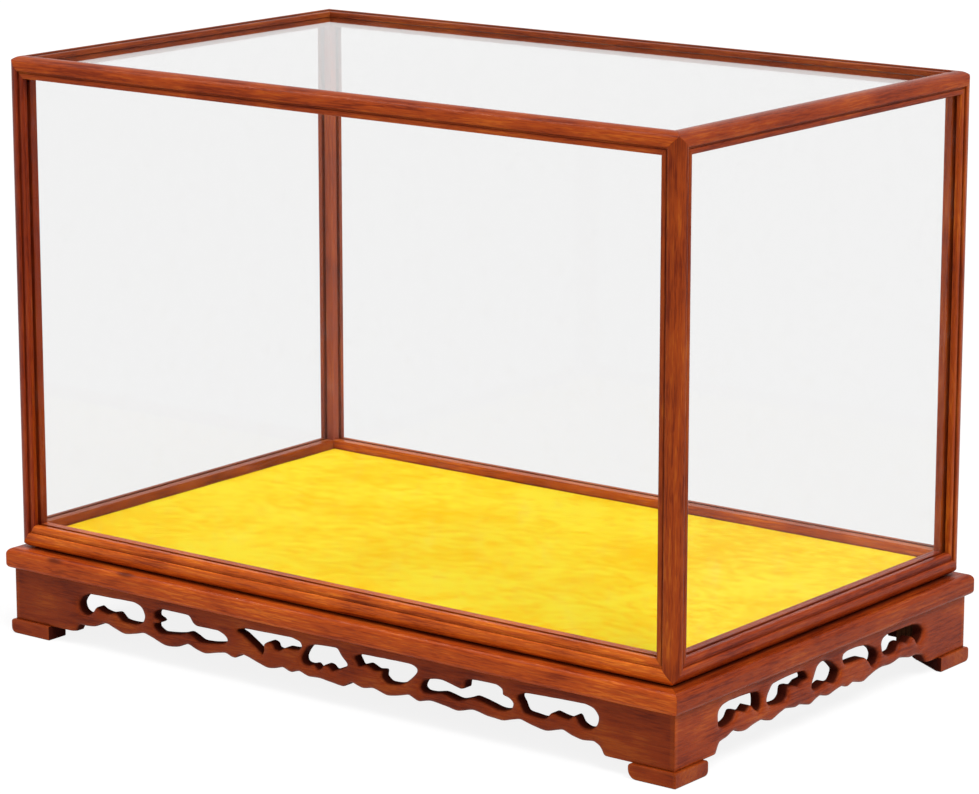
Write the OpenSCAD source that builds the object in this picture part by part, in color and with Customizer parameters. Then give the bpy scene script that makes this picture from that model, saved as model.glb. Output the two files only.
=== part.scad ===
// Glass display case: a lift-off glass cover on a low base with pierced aprons.
// Origin at the middle of the footprint, on the surface the feet stand on. +Z up, front at -Y.

/* [Cover] */
// Outer length of the cover, left to right
cover_l = 500; // [440:1:640]
// Outer depth of the cover, front to back
cover_d = 305; // [280:1:420]
// Outer height of the cover
cover_h = 309; // [200:1:420]
// Width and depth of the posts and top rails
bar_w = 13; // [12.5:0.5:15]
// Height of the bottom rails
bottom_rail_h = 15.5; // [15:0.5:20]
// Radius of the rounded outer corner of every bar
bar_round = 7.5; // [3:0.5:8]
// Width of the bead along the inner edge of a bar
bead_w = 3.3; // [2.5:0.1:3.6]
// Distance of the bead's crown behind the face of its bar
bead_back = 0.7; // [0:0.1:1]
// Height of the bead above the quirk beside it
bead_rise = 0.7; // [0.3:0.1:0.9]
// Width of the quirk between bead and face
quirk_w = 1; // [0.6:0.1:1.4]

/* [Glass] */
// Thickness of the panes
glass_t = 3; // [2:0.5:3.5]
// Distance of a pane behind the outer face of its bars
glass_inset = 4.3; // [4:0.1:4.6]
// Depth of the glass grooves
groove_d = 4.5; // [3:0.5:4.5]
// Play of a pane across its groove
groove_play = 0.3; // [0.1:0.1:0.4]
// Gap between a pane's edges and the bottom of its groove
pane_gap = 0.4; // [0.2:0.1:0.8]

/* [Cover joints] */
// Diameter of the dowels hidden in the mitres
dowel_d = 2; // [1.5:0.1:2.2]
// Length of those dowels
dowel_l = 6; // [4:0.5:6]
// Distance of a dowel's axis from the outer face
dowel_inset = 2.6; // [2.4:0.1:2.7]
// Radial clearance of a dowel in its bore
dowel_play = 0.05; // [0.02:0.01:0.1]

/* [Cornice] */
// Thickness of the cornice rails
cornice_h = 13; // [12.5:0.5:18]
// Width of the cornice rails
cornice_w = 34; // [32:1:40]
// How far the cornice stands out past the cover
cornice_out = 6; // [4:0.5:8]
// Radius of the cornice's upper edge
cornice_top_r = 4; // [2:0.5:6]
// Radius of the cornice's lower edge
cornice_low_r = 3; // [2:0.5:6]
// Gap between the cover and the cornice that it stands on
seat_gap = 0.3; // [0.1:0.1:0.8]

/* [Aprons] */
// Height of the apron boards
apron_h = 33; // [28:1:48]
// Thickness of the apron boards
apron_t = 8; // [6:0.5:10]
// How far the aprons stand out past the cover
apron_out = 2; // [0:0.1:3]
// Solid length at each end of the front and back aprons
front_leg_l = 50; // [44:1:70]
// Solid length at each end of the side aprons
side_leg_l = 44; // [42:1:60]

/* [Feet] */
// Length of the foot pads along the aprons
foot_w = 32.5; // [30:0.5:38]
// Width of a pad's square end under the side apron
foot_land = 3; // [2:0.5:6]
// How far the inner side of a pad slants back from that end
foot_slant = 17.5; // [8:0.5:20]
// Thickness of the foot pads
foot_h = 9; // [6:0.5:12]
// How far the pads stand out past the aprons
foot_out = 2.4; // [1:0.1:4]
// Radius of the lower edge at the left end of a pad
foot_left_r = 3.5; // [1:0.5:6]
// The same radius on the front right pad, which is rounded more
worn_foot_r = 5.5; // [1:0.5:6]
// Radius of the lower edge at the back end of a pad
foot_back_r = 3; // [1:0.5:6]
// Radius of the upper edges of those two ends
foot_edge_r = 2; // [0.5:0.5:3]

/* [Floor] */
// Thickness of the raised floor board
floor_h = 9; // [8:0.5:12]
// Gap round the floor board inside the cover
floor_gap = 1; // [0.5:0.1:1.5]
// Thickness of the velvet cloth
cloth_t = 1.5; // [1:0.1:3]
// Gap between the cloth and the board under it
cloth_gap = 0.3; // [0.1:0.1:0.5]
// Width of the battens
batten_w = 22; // [16:1:26]
// Thickness of the battens
batten_h = 9; // [8:0.5:11]
// Distance of each batten from the middle
batten_x = 112; // [98:1:140]
// Thickness of the batten tenons
tenon_h = 5; // [4:0.5:6]
// Length of the batten tenons
tenon_l = 8; // [5:0.5:10]
// Shoulder left at each side of a tenon
tenon_shoulder = 3; // [2:0.5:5]

/* [Inner joinery] */
// Side of the square corner blocks
block_w = 22; // [18:1:24]
// Thickness of the cornice splines
spline_t = 3; // [2:0.5:4]
// Width of the splines across the mitre
spline_w = 14; // [8:1:16]
// Length of the splines along the mitre
spline_l = 20; // [12:1:22]
// Clearance round splines and tenons
joint_play = 0.1; // [0.05:0.05:0.2]
// Height of the glue blocks
glue_h = 5; // [4:0.5:5]
// Depth of the glue blocks
glue_w = 11; // [8:1:13]
// Length of the glue blocks
glue_l = 36; // [24:1:44]
// Distance of the outer front glue blocks from the middle
glue_x = 140; // [110:1:145]
// Distance of the side glue blocks from the middle
glue_y = 40; // [26:1:44]

/* [Screws] */
// Shank diameter of the wood screws
screw_d = 3; // [2.5:0.1:3.5]
// Head diameter of the wood screws
screw_head_d = 6; // [5:0.1:7]
// Height of the countersunk head
screw_head_h = 2; // [1.5:0.1:2.5]
// Length of the screws that hold the floor board
floor_screw_l = 17; // [15:0.5:18]
// Length of the screws that hold the feet
foot_screw_l = 24; // [16:1:30]
// Distance of those screws from the inner faces of the aprons
foot_screw_in = 5; // [4:0.5:8]
// Radial clearance round a screw
screw_play = 0.1; // [0.05:0.05:0.2]
// Depth of a screw head below its face
screw_sink = 0.4; // [0.2:0.1:0.8]
// Width of the slot in a screw head
slot_w = 0.8; // [0.5:0.1:1.2]
// Depth of that slot
slot_deep = 0.8; // [0.4:0.1:1]
// Distance of the front and back floor screws from the middle
screw_x = 76; // [60:1:80]
// Distance of the side floor screws from the middle
screw_y = 76; // [70:1:80]

/* [Hidden] */

$fn = 48;
rosewood = [0.55, 0.22, 0.11];
inner_wood = [0.42, 0.26, 0.16];
glass_tint = [0.9, 0.95, 0.94, 0.3];
velvet_yellow = [0.97, 0.77, 0.12];
steel = [0.7, 0.7, 0.72];
over = 1;
foot_flat = 0.5;
arc_step = 9;
sides = [-1, 1];

// Levels
apron_z = foot_h;
cornice_z = apron_z + apron_h;
floor_z = cornice_z + cornice_h;
cover_z = floor_z + seat_gap;
cover_top = cover_z + cover_h;
cloth_z = floor_z + floor_h + cloth_gap;

// Half sizes seen from above
cover_x = cover_l / 2;
cover_y = cover_d / 2;
cornice_x = cover_x + cornice_out;
cornice_y = cover_y + cornice_out;
apron_x = cover_x + apron_out;
apron_y = cover_y + apron_out;
foot_x = apron_x + foot_out;
foot_y = apron_y + foot_out;
floor_x = cover_x - bar_w - floor_gap;
floor_y = cover_y - bar_w - floor_gap;
block_x = apron_x - apron_t;
block_y = apron_y - apron_t;
ledge_x = cornice_x - cornice_w;
ledge_y = cornice_y - cornice_w;

// Glass
groove_w = glass_t + groove_play;
cheek = glass_inset - groove_play / 2;
pane_edge = bar_w - groove_d + pane_gap;
pane_foot = bottom_rail_h - groove_d + pane_gap;

// The carving is drawn on boards of these sizes and stretched to the real run and height
drawn_front_run = 200;
drawn_side_run = 109.5;
drawn_h = 32;
curve_steps = 3;
curve_ease = 0.85;

// Openings of the front and back aprons: across from the middle, and up from the lower edge
front_openings = [
    [[-196.5, 18], [-193.5, 22.5], [-188, 25], [-170, 25.6], [-151, 26], [-145, 24], [-142.5, 19.5],
     [-144.5, 15], [-150, 13], [-157, 12.7], [-162, 13.4], [-166.5, 16.6], [-173, 15.4], [-179, 16.4],
     [-182.5, 17.8], [-185.5, 14.5], [-190, 11.9], [-195, 13.6]],
    [[-134, 23], [-129, 25.5], [-116, 25.8], [-106.5, 25.4], [-103.5, 22], [-100, 20.3], [-84, 20.4],
     [-78, 18.6], [-76, 16], [-80, 13.4], [-90, 11.6], [-98.5, 11.2], [-104, 13.4], [-108.5, 14.6],
     [-114, 13], [-121, 11.8], [-130, 11], [-134.5, 13.2], [-134.5, 16], [-130, 17.8], [-134.3, 20]],
    [[-68, 23.6], [-61, 25.4], [-40, 26], [-26, 26.3], [-19.5, 25], [-18, 22.5], [-20.5, 20.3],
     [-26, 19.6], [-31, 19.3], [-35.5, 17], [-39, 17.4], [-40.5, 19.8], [-44, 20.6], [-47.3, 18.6],
     [-47.4, 15.4], [-48.6, 12.6], [-56, 17], [-64, 21.6]],
    [[-12, 24], [-6, 25.4], [8.5, 26], [12.5, 22], [16.6, 17.8], [13, 15.4], [8, 13.2], [5, 12.2],
     [2.5, 14], [-1, 14.4], [-3.5, 11.8], [-6, 11.2], [-9, 13.2], [-13, 12.2], [-17, 12.8],
     [-18, 16], [-15.5, 20.5]],
    [[22.4, 23.6], [28, 25.8], [46, 26.3], [63.5, 26.5], [68.6, 24.3], [66, 20], [60, 15.2], [54, 12.8],
     [46.5, 12.4], [42.6, 15], [42.6, 18.6], [37, 18.2], [31, 20.2], [25.5, 18.6], [23.6, 21]],
    [[71.6, 16], [74, 19], [80, 20.8], [87, 21.4], [94, 20], [100, 18.8], [103, 19.8], [103.6, 22.8],
     [105.5, 25.2], [112, 25.7], [125.5, 25.9], [129.8, 24], [130.5, 20.9], [135, 19.8], [137.6, 17.4],
     [136.2, 14], [131, 12], [126, 12], [117, 14], [109, 15.2], [104, 13.4], [98, 11.8], [91, 13],
     [86, 13.6], [79, 12.2], [73.6, 12], [71.2, 13.6]],
    [[141, 22], [147, 24.8], [168, 25.7], [187, 26.2], [193.5, 24.8], [197, 21], [196, 16], [192, 13],
     [188, 12.6], [184, 14.4], [181, 18.2], [176.5, 15.8], [171.5, 16], [165, 17], [161, 13.4],
     [157, 12.5], [151, 13], [145.5, 13.8], [143, 18]]
];
// Lower edge of the front and back aprons, from leg to leg
front_edge = [
    [-200, 0], [-199, 1.6], [-197, 4.6], [-191, 4.8], [-184, 5.6], [-177, 8.6], [-173, 8.8], [-166, 6.6],
    [-159, 5.2], [-150, 6.9], [-143, 8.4], [-134, 6], [-125, 3.9], [-116, 4.9], [-108, 7.8], [-101, 6],
    [-94, 4.7], [-85, 6.6], [-78, 7.8], [-73, 6.4], [-70, 6.4], [-64, 9.3], [-54, 7], [-45, 4.9],
    [-39, 5.6], [-33, 7.2], [-29, 6], [-26, 5.6], [-20, 7.2], [-13, 5.4], [-4, 5.8], [5, 4.8], [13, 4.2],
    [17, 6.2], [20, 7.8], [28, 6], [36, 7.2], [46, 5], [54, 6.2], [62, 8.2], [66, 7], [70, 5.9],
    [78, 7.6], [88, 6.8], [98, 5.6], [109, 8.1], [119, 6.6], [130, 6], [137, 7.8], [143, 9],
    [152, 7], [161, 5.9], [172, 8.6], [179, 6.6], [186, 5.5], [194, 6.2], [198, 4.4], [200, 1.6],
    [201, 0]
];
// Openings of the side aprons, from the front end to the back end
side_openings = [
    [[-109.6, 19.5], [-109, 23], [-105, 25.6], [-96, 26.4], [-80, 26], [-70, 24.8], [-67.4, 21.4],
     [-67.2, 15.6], [-69.6, 13.8], [-74, 16.6], [-77.5, 19], [-82, 16.6], [-86.5, 18], [-91.5, 18.8],
     [-94.5, 15.4], [-98, 14], [-104, 13.2], [-108.8, 15.2]],
    [[-60.6, 17.6], [-59.4, 21.4], [-55, 25.4], [-46, 26.2], [-31, 26.4], [-22.5, 25.6], [-19.6, 22.8],
     [-19, 20.6], [-25, 20.2], [-29, 18.6], [-34, 20], [-39, 20], [-40.4, 15.4], [-44, 13.2],
     [-50, 13.2], [-57.4, 14.4]],
    [[-14.6, 15], [-12, 20], [-9.4, 24.6], [-5, 26.6], [2, 26], [9, 22.6], [14.6, 17.6], [13.4, 14],
     [10.6, 11.6], [6.4, 12], [1, 13.8], [-5, 12.6], [-11, 12.4]],
    [[18.6, 22.6], [18.8, 25.4], [24, 26.6], [36, 26.4], [46, 24.8], [54, 20.8], [56.8, 16.6],
     [55, 12.8], [50.4, 11.8], [47.2, 15], [43, 18.2], [36, 19], [28, 19.2], [20.4, 20]],
    [[60.4, 22.6], [62, 25.2], [67.4, 26.5], [80, 26.5], [95, 26], [103, 24], [106.6, 19.8],
     [104.4, 15.8], [100.6, 13.8], [98, 17], [94, 19.2], [89, 17], [84.6, 18.2], [80, 18],
     [76.4, 14.6], [70, 14.2], [63, 16.4]]
];
// Lower edge of the side aprons, from leg to leg
side_edge = [
    [-111, 0], [-110, 1.8], [-108, 5], [-101, 6.4], [-94, 8.3], [-88, 6.4], [-82, 5.5], [-74, 6.8],
    [-66, 7.6], [-60, 5.8], [-55, 5], [-48, 6.8], [-41, 8], [-31, 6.4], [-26, 6.8], [-16, 4.5],
    [-10, 6], [-5, 7], [4, 5], [11, 6.2], [18, 7], [24, 5.5], [30, 6.6], [41, 4.4], [50, 6.6],
    [60, 8.3], [72, 7.7], [82, 9], [93, 6.8], [100, 6.8], [107, 5], [109.6, 1.8], [111, 0]
];

// Curves through points

function unit(v) = v / max(norm(v), 0.001);

function tangent(before, here, after) =
    unit(after - before) * min(norm(here - before), norm(after - here)) * curve_ease;

function ease_point(a, b, ta, tb, t) =
    a * (2 * pow(t, 3) - 3 * pow(t, 2) + 1) + ta * (pow(t, 3) - 2 * pow(t, 2) + t)
    + b * (3 * pow(t, 2) - 2 * pow(t, 3)) + tb * (pow(t, 3) - pow(t, 2));

function smooth_loop(p) = [
    for (i = [0 : len(p) - 1])
        let (n = len(p), before = p[(i + n - 1) % n], a = p[i])
        let (b = p[(i + 1) % n], after = p[(i + 2) % n])
            for (s = [0 : curve_steps - 1])
                ease_point(a, b, tangent(before, a, b), tangent(a, b, after), s / curve_steps)
];

function smooth_line(p) = concat([
    for (i = [0 : len(p) - 2])
        let (before = p[max(i - 1, 0)], a = p[i])
        let (b = p[i + 1], after = p[min(i + 2, len(p) - 1)])
            for (s = [0 : curve_steps - 1])
                ease_point(a, b, tangent(before, a, b), tangent(a, b, after), s / curve_steps)
], [p[len(p) - 1]]);

function stretched(p, kx, kz) = [for (q = p) [q[0] * kx, q[1] * kz]];

function swapped(p) = [for (i = [len(p) - 1 : -1 : 0]) [p[i][1], p[i][0]]];

// Places

// Draws an outline of the YZ plane along X, over the middle
module along_x(length) {
    rotate([90, 0, 90]) linear_extrude(height = length, center = true) children();
}

// Draws an outline of the XZ plane along Y, over the middle
module along_y(length) {
    rotate([90, 0, 0]) linear_extrude(height = length, center = true) children();
}

// Turns a front left piece into the one at another corner
module at_corner(side_x, side_y) {
    mirror([side_x > 0 ? 1 : 0, 0, 0]) mirror([0, side_y > 0 ? 1 : 0, 0]) children();
}

module at_all_corners() {
    for (side_x = sides)
        for (side_y = sides)
            at_corner(side_x, side_y) children();
}

// Outline that mitres both ends: full length at 0, set back at the given width
function mitred(length, width, back) = let (slope = back / width) [
    [-length / 2 - over * slope, -over], [length / 2 + over * slope, -over],
    [length / 2 - back - over * slope, width + over], [-length / 2 + back + over * slope, width + over]
];

// Bars of the cover

// One moulded face, from its inner edge to the rounded corner
function moulding() = let (edge = bar_w - bead_w - quirk_w, low = bead_back + bead_rise) concat(
    [for (a = [0 : 2 * arc_step : 180]) [low - bead_rise * sin(a), bar_w - bead_w * (1 - cos(a)) / 2]],
    [[low, edge], [low / 3, edge - quirk_w / 8], [0, edge - quirk_w / 2]]
);

function corner_round() =
    [for (a = [0 : arc_step : 90]) [bar_round * (1 - cos(a)), bar_round * (1 - sin(a))]];

// Section of a post or top rail, with its outer corner at the origin
function bar_section() =
    concat([[bar_w, bar_w]], moulding(), corner_round(), swapped(moulding()));

// Section of a bottom rail: moulded outside, flat underneath
function bottom_section() = [
    for (q = concat([[bar_w, bar_w]], moulding(), corner_round(), [[bar_w, 0]]))
        [q[0], q[1] * bottom_rail_h / bar_w]
];

// A rail along X, with its outer edge at the origin and its body towards +Y and +Z
module rail_stock(length, height, section) {
    intersection() {
        along_x(length + 2 * over) polygon(section);
        translate([0, 0, -over]) linear_extrude(height = height + 2 * over)
            polygon(mitred(length, bar_w, bar_w));
        translate([0, bar_w / 2, 0]) along_y(bar_w + 2 * over) polygon(mitred(length, height, bar_w));
    }
}

// Groove for the pane that stands on or hangs from a rail along X
module pane_groove(length, height) {
    translate([-length / 2 - over, cheek, height - groove_d])
        cube([length + 2 * over, groove_w, groove_d + over]);
}

// Three dowels across the mitres of one corner, whose outer point is at the origin
module corner_dowels(height, play) {
    long = dowel_l + 2 * play;
    wide = dowel_d + 2 * play;
    lean = 90 + atan(bar_w / height);
    translate([bar_w / 2, bar_w / 2, dowel_inset])
        rotate([0, 90, -45]) cylinder(h = long, d = wide, center = true);
    translate([bar_w / 2, dowel_inset, height / 2])
        rotate([0, lean, 0]) cylinder(h = long, d = wide, center = true);
    translate([dowel_inset, bar_w / 2, height / 2])
        rotate([-lean, 0, 0]) cylinder(h = long, d = wide, center = true);
}

// Bores for the dowels at both ends of a rail along X
module rail_bores(length, height) {
    for (side = sides)
        mirror([side > 0 ? 1 : 0, 0, 0])
            translate([-length / 2, 0, 0]) corner_dowels(height, dowel_play);
}

module top_rail(length) {
    color(rosewood) mirror([0, 0, 1]) difference() {
        rail_stock(length, bar_w, bar_section());
        pane_groove(length, bar_w);
        translate([-length / 2 - over, bar_w - groove_d, cheek])
            cube([length + 2 * over, groove_d + over, groove_w]);
        rail_bores(length, bar_w);
    }
}

module bottom_rail(length) {
    color(rosewood) difference() {
        rail_stock(length, bottom_rail_h, bottom_section());
        pane_groove(length, bottom_rail_h);
        rail_bores(length, bottom_rail_h);
    }
}

// Outline that mitres a post to the rails above and below
function post_mitred() = let (a = -over, b = bar_w + over, low = bottom_rail_h / bar_w) [
    [a, a * low], [b, b * low], [b, cover_h - b], [a, cover_h - a]
];

// The front left post, with the cover's lowest corner at the origin
module post_stock() {
    difference() {
        intersection() {
            translate([0, 0, -over]) linear_extrude(height = cover_h + 2 * over) polygon(bar_section());
            translate([0, bar_w / 2, 0]) along_y(bar_w + 2 * over) polygon(post_mitred());
            translate([bar_w / 2, 0, 0]) along_x(bar_w + 2 * over) polygon(post_mitred());
        }
        translate([bar_w - groove_d, cheek, -over])
            cube([groove_d + over, groove_w, cover_h + 2 * over]);
        translate([cheek, bar_w - groove_d, -over])
            cube([groove_w, groove_d + over, cover_h + 2 * over]);
        corner_dowels(bottom_rail_h, dowel_play);
        translate([0, 0, cover_h]) mirror([0, 0, 1]) corner_dowels(bar_w, dowel_play);
    }
}

module post(side_x, side_y) {
    color(rosewood) at_corner(side_x, side_y) translate([-cover_x, -cover_y, cover_z]) post_stock();
}

// Moves a rail drawn along X to the front or back, or turns it to the left or right
module at_front() { translate([0, -cover_y, 0]) children(); }
module at_left() { translate([-cover_x, 0, 0]) rotate([0, 0, -90]) children(); }

module post_front_left() { post(-1, -1); }
module post_front_right() { post(1, -1); }
module post_back_left() { post(-1, 1); }
module post_back_right() { post(1, 1); }

module top_rail_front() { translate([0, 0, cover_top]) at_front() top_rail(cover_l); }
module top_rail_back() { mirror([0, 1, 0]) top_rail_front(); }
module top_rail_left() { translate([0, 0, cover_top]) at_left() top_rail(cover_d); }
module top_rail_right() { mirror([1, 0, 0]) top_rail_left(); }

module bottom_rail_front() { translate([0, 0, cover_z]) at_front() bottom_rail(cover_l); }
module bottom_rail_back() { mirror([0, 1, 0]) bottom_rail_front(); }
module bottom_rail_left() { translate([0, 0, cover_z]) at_left() bottom_rail(cover_d); }
module bottom_rail_right() { mirror([1, 0, 0]) bottom_rail_left(); }

module dowels_top() {
    color(inner_wood) at_all_corners()
        translate([-cover_x, -cover_y, cover_top]) mirror([0, 0, 1]) corner_dowels(bar_w, 0);
}

module dowels_bottom() {
    color(inner_wood) at_all_corners()
        translate([-cover_x, -cover_y, cover_z]) corner_dowels(bottom_rail_h, 0);
}

// Panes

module wall_pane(length) {
    translate([-length / 2 + pane_edge, glass_inset, cover_z + pane_foot])
        cube([length - 2 * pane_edge, glass_t, cover_h - pane_foot - pane_edge]);
}

module glass_front() { color(glass_tint) at_front() wall_pane(cover_l); }
module glass_back() { mirror([0, 1, 0]) glass_front(); }
module glass_left() { color(glass_tint) at_left() wall_pane(cover_d); }
module glass_right() { mirror([1, 0, 0]) glass_left(); }

module glass_top() {
    color(glass_tint)
        translate([-cover_x + pane_edge, -cover_y + pane_edge, cover_top - glass_inset - glass_t])
            cube([cover_l - 2 * pane_edge, cover_d - 2 * pane_edge, glass_t]);
}

// Cornice

function cornice_section() = concat(
    [[cornice_w, 0]],
    [for (a = [0 : arc_step : 90]) [cornice_low_r * (1 - sin(a)), cornice_low_r * (1 - cos(a))]],
    [
        for (a = [0 : arc_step : 90])
            [cornice_top_r * (1 - cos(a)), cornice_h - cornice_top_r * (1 - sin(a))]
    ],
    [[cornice_w, cornice_h]]
);

module cornice_stock(length) {
    intersection() {
        along_x(length + 2 * over) polygon(cornice_section());
        translate([0, 0, -over]) linear_extrude(height = cornice_h + 2 * over)
            polygon(mitred(length, cornice_w, cornice_w));
    }
}

// Loose splines across the mitres, let in by the same places
module splines(play) {
    at_all_corners()
        translate([cornice_w / 2 - cornice_x, cornice_w / 2 - cornice_y, cornice_z + cornice_h / 2])
            rotate([0, 0, 45])
                cube([spline_l + 2 * play, spline_w + 2 * play, spline_t + 2 * play], center = true);
}

module cornice_cuts() {
    splines(joint_play);
    for (side = sides) batten(side, joint_play);
    floor_screw_places() screw(floor_screw_l, screw_play);
}

module cornice_front() {
    color(rosewood) difference() {
        translate([0, -cornice_y, cornice_z]) cornice_stock(2 * cornice_x);
        cornice_cuts();
    }
}

module cornice_back() { mirror([0, 1, 0]) cornice_front(); }

module cornice_left() {
    color(rosewood) difference() {
        translate([-cornice_x, 0, cornice_z]) rotate([0, 0, -90]) cornice_stock(2 * cornice_y);
        cornice_cuts();
    }
}

module cornice_right() { mirror([1, 0, 0]) cornice_left(); }

module cornice_splines() { color(inner_wood) splines(0); }

// Aprons

// Board outline, from its lower edge up, with the openings cut out
module apron_outline(half, edge, openings, kx) {
    kz = apron_h / drawn_h;
    difference() {
        polygon(concat(
            [[-half, apron_h], [-half, 0]],
            stretched(smooth_line(edge), kx, kz),
            [[half, 0], [half, apron_h]]
        ));
        for (o = openings) polygon(stretched(smooth_loop(o), kx, kz));
    }
}

module apron(half, edge, openings, kx) {
    intersection() {
        translate([0, apron_t / 2, 0]) along_y(apron_t) apron_outline(half, edge, openings, kx);
        translate([0, 0, -over]) linear_extrude(height = apron_h + 2 * over)
            polygon(mitred(2 * half, apron_t, apron_t));
    }
}

module apron_front() {
    color(rosewood) translate([0, -apron_y, apron_z])
        apron(apron_x, front_edge, front_openings, (apron_x - front_leg_l) / drawn_front_run);
}

module apron_back() { mirror([0, 1, 0]) apron_front(); }

module apron_right() {
    color(rosewood) translate([apron_x, 0, apron_z]) rotate([0, 0, 90])
        apron(apron_y, side_edge, side_openings, (apron_y - side_leg_l) / drawn_side_run);
}

module apron_left() { mirror([1, 0, 0]) apron_right(); }

// Feet

// Outline of a pad, from its square end at 0 to its rounded end. A flat is left between the two rounds
function foot_outline(end_r) = let (low_r = min(end_r, foot_h - foot_edge_r - foot_flat)) concat(
    [[0, foot_h], [0, 0]],
    [for (a = [0 : 2 * arc_step : 90]) [foot_w - low_r * (1 - sin(a)), low_r * (1 - cos(a))]],
    [
        for (a = [0 : 2 * arc_step : 90])
            [foot_w - foot_edge_r * (1 - cos(a)), foot_h - foot_edge_r * (1 - sin(a))]
    ]
);

// What the slanting inner side takes off a pad, seen from above with the pad's outer corner at 0
function foot_cut() =
    let (start = [foot_land, foot_w], end = [foot_w, foot_w - foot_slant], past = (end - start) / 5)
    [start - past, end + past, [2 * foot_w, 2 * foot_w]];

// The pads are rounded at their left and back ends, and their inner sides slant
module foot(side_x, side_y, left_r) {
    color(rosewood) difference() {
        translate([side_x * (foot_x - foot_w / 2), side_y * (foot_y - foot_w / 2), 0]) intersection() {
            translate([foot_w / 2, 0, 0]) mirror([1, 0, 0]) along_y(foot_w) polygon(foot_outline(left_r));
            translate([0, -foot_w / 2, 0]) along_x(foot_w) polygon(foot_outline(foot_back_r));
        }
        at_corner(side_x, side_y) {
            foot_screw_place() screw(foot_screw_l, screw_play);
            translate([-foot_x, -foot_y, -over]) linear_extrude(height = foot_h + 2 * over)
                polygon(foot_cut());
        }
    }
}

module foot_front_left() { foot(-1, -1, foot_left_r); }
module foot_front_right() { foot(1, -1, worn_foot_r); }
module foot_back_left() { foot(-1, 1, foot_left_r); }
module foot_back_right() { foot(1, 1, foot_left_r); }

// Blocks behind the aprons

module corner_block(side_x, side_y) {
    color(inner_wood) at_corner(side_x, side_y) difference() {
        translate([-block_x, -block_y, apron_z]) cube([block_w, block_w, apron_h]);
        foot_screw_place() screw(foot_screw_l, screw_play);
    }
}

module corner_block_front_left() { corner_block(-1, -1); }
module corner_block_front_right() { corner_block(1, -1); }
module corner_block_back_left() { corner_block(-1, 1); }
module corner_block_back_right() { corner_block(1, 1); }

module glue_blocks() {
    color(inner_wood) for (side = sides) {
        for (x = [-glue_x, 0, glue_x])
            mirror([0, side > 0 ? 1 : 0, 0])
                translate([x - glue_l / 2, -block_y, cornice_z - glue_h]) cube([glue_l, glue_w, glue_h]);
        for (y = [-glue_y, glue_y])
            mirror([side > 0 ? 1 : 0, 0, 0])
                translate([-block_x, y - glue_l / 2, cornice_z - glue_h]) cube([glue_w, glue_l, glue_h]);
    }
}

// Screws

// A slotted countersunk screw with its point up and its head's face at 0
module screw(length, play) {
    face = play > 0 ? screw_sink + over : 0;
    wide = screw_head_d / 2 + play;
    slim = screw_d / 2 + play;
    translate([0, 0, -face]) cylinder(h = face + play, r = wide);
    translate([0, 0, play]) cylinder(h = screw_head_h, r1 = wide, r2 = slim);
    cylinder(h = length + play, r = slim);
}

module slotted_screw(length) {
    color(steel) difference() {
        screw(length, 0);
        translate([-screw_head_d, -slot_w / 2, -over]) cube([2 * screw_head_d, slot_w, slot_deep + over]);
    }
}

module foot_screw_place() {
    translate([foot_screw_in - block_x, foot_screw_in - block_y, screw_sink]) children();
}

module floor_screw_places() {
    at_all_corners() {
        translate([-screw_x, -(ledge_y + floor_y) / 2, cornice_z + screw_sink]) children();
        translate([-(ledge_x + floor_x) / 2, -screw_y, cornice_z + screw_sink]) children();
    }
}

module foot_screws() { at_all_corners() foot_screw_place() slotted_screw(foot_screw_l); }
module floor_screws() { floor_screw_places() slotted_screw(floor_screw_l); }

// Floor

module floor_board() {
    color(inner_wood) difference() {
        translate([-floor_x, -floor_y, floor_z]) cube([2 * floor_x, 2 * floor_y, floor_h]);
        floor_screw_places() screw(floor_screw_l, screw_play);
    }
}

module batten(side, play) {
    tenon_w = batten_w - 2 * tenon_shoulder;
    tenon_y = ledge_y + tenon_l + play;
    translate([side * batten_x, 0, floor_z - batten_h / 2])
        cube([tenon_w + 2 * play, 2 * tenon_y, tenon_h + 2 * play], center = true);
}

module whole_batten(side) {
    color(inner_wood) {
        batten(side, 0);
        translate([side * batten_x - batten_w / 2, -ledge_y + joint_play, floor_z - batten_h])
            cube([batten_w, 2 * (ledge_y - joint_play), batten_h]);
    }
}

module batten_left() { whole_batten(-1); }
module batten_right() { whole_batten(1); }

module velvet_cloth() {
    color(velvet_yellow) translate([-floor_x, -floor_y, cloth_z])
        cube([2 * floor_x, 2 * floor_y, cloth_t]);
}

post_front_left();
post_front_right();
post_back_left();
post_back_right();
top_rail_front();
top_rail_back();
top_rail_left();
top_rail_right();
bottom_rail_front();
bottom_rail_back();
bottom_rail_left();
bottom_rail_right();
glass_front();
glass_back();
glass_left();
glass_right();
glass_top();
dowels_top();
dowels_bottom();
cornice_front();
cornice_back();
cornice_left();
cornice_right();
cornice_splines();
apron_front();
apron_back();
apron_left();
apron_right();
foot_front_left();
foot_front_right();
foot_back_left();
foot_back_right();
corner_block_front_left();
corner_block_front_right();
corner_block_back_left();
corner_block_back_right();
glue_blocks();
floor_board();
batten_left();
batten_right();
floor_screws();
foot_screws();
velvet_cloth();
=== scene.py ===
import math
from collections import Counter

import bpy
import numpy as np
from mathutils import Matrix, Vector, geometry, noise
from mathutils.kdtree import KDTree


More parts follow.
